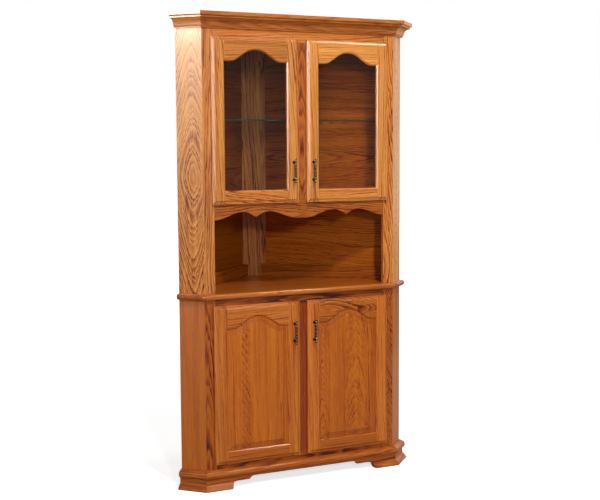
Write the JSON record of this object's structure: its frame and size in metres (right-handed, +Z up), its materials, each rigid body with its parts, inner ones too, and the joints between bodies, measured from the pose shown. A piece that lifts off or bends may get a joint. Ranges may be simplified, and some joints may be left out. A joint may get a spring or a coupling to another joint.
{
  "type": "corner cupboard",
  "caption": "Corner cupboard of oak: a base with arched panel doors under a counter, an open niche with a scalloped valance, and glazed doors below a moulded crown.",
  "frame": {"origin": "on the floor, under the middle of the bounding box of the whole cupboard", "axes": "+Z up; +Y towards the corner of the room that the cupboard stands in, so the front faces -Y; +X to the right of someone facing the front"},
  "size_m": [1.1656, 0.6252, 2.032],
  "materials": {
    "oak": "red oak with a golden-brown satin lacquer and dark open grain",
    "inner_oak": "oak-faced board with the same stain and a satin lacquer",
    "glass": "clear, polished, with a faint green edge",
    "antique_brass": "antique brass, darkened in the grooves",
    "hinge_steel": "satin nickel plate"
  },
  "bodies": {
    "cabinet": {"base_side_left": "oak", "base_side_right": "oak", "base_back_left": "inner_oak", "base_back_right": "inner_oak", "base_corner_post": "oak", "base_floor": "inner_oak", "base_shelf": "inner_oak", "base_stile_left": "oak", "base_stile_right": "oak", "base_mullion": "oak", "base_top_rail": "oak", "base_bottom_rail": "oak", "plinth_front": "oak", "plinth_left": "oak", "plinth_right": "oak", "counter_top": "oak", "hutch_side_left": "oak", "hutch_side_right": "oak", "hutch_back_left": "inner_oak", "hutch_back_right": "inner_oak", "hutch_corner_post": "oak", "hutch_deck": "inner_oak", "hutch_top": "inner_oak", "glass_shelf": "glass", "hutch_stile_left": "oak", "hutch_stile_right": "oak", "hutch_mullion": "oak", "hutch_top_rail": "oak", "hutch_valance": "oak", "crown": "oak", "counter_cleat_left": "oak", "counter_cleat_right": "oak", "glazed_door_left_lower_hinge_arm": "hinge_steel", "glazed_door_left_upper_hinge_arm": "hinge_steel", "glazed_door_right_lower_hinge_arm": "hinge_steel", "glazed_door_right_upper_hinge_arm": "hinge_steel", "panel_door_left_lower_hinge_arm": "hinge_steel", "panel_door_left_upper_hinge_arm": "hinge_steel", "panel_door_right_lower_hinge_arm": "hinge_steel", "panel_door_right_upper_hinge_arm": "hinge_steel"},
    "glazed_door_left": {"glazed_door_left_frame": "oak", "glazed_door_left_glass": "glass", "glazed_door_left_pull": "antique_brass", "glazed_door_left_lower_hinge_cup": "hinge_steel", "glazed_door_left_upper_hinge_cup": "hinge_steel"},
    "glazed_door_right": {"glazed_door_right_frame": "oak", "glazed_door_right_glass": "glass", "glazed_door_right_pull": "antique_brass", "glazed_door_right_lower_hinge_cup": "hinge_steel", "glazed_door_right_upper_hinge_cup": "hinge_steel"},
    "panel_door_left": {"panel_door_left_frame": "oak", "panel_door_left_panel": "oak", "panel_door_left_pull": "antique_brass", "panel_door_left_lower_hinge_cup": "hinge_steel", "panel_door_left_upper_hinge_cup": "hinge_steel"},
    "panel_door_right": {"panel_door_right_frame": "oak", "panel_door_right_panel": "oak", "panel_door_right_pull": "antique_brass", "panel_door_right_lower_hinge_cup": "hinge_steel", "panel_door_right_upper_hinge_cup": "hinge_steel"}
  },
  "joints": [
    {"name": "glazed_door_left_hinge", "type": "hinge", "parent": "cabinet", "child": "glazed_door_left", "pos_m": [-0.416, -0.2636, 1.583], "axis": [0, 0, -1], "range_deg": [0, 105]},
    {"name": "glazed_door_right_hinge", "type": "hinge", "parent": "cabinet", "child": "glazed_door_right", "pos_m": [0.416, -0.2636, 1.583], "axis": [0, 0, 1], "range_deg": [0, 105]},
    {"name": "panel_door_left_hinge", "type": "hinge", "parent": "cabinet", "child": "panel_door_left", "pos_m": [-0.416, -0.2636, 0.4525], "axis": [0, 0, -1], "range_deg": [0, 105]},
    {"name": "panel_door_right_hinge", "type": "hinge", "parent": "cabinet", "child": "panel_door_right", "pos_m": [0.416, -0.2636, 0.4525], "axis": [0, 0, 1], "range_deg": [0, 105]}
  ]
}
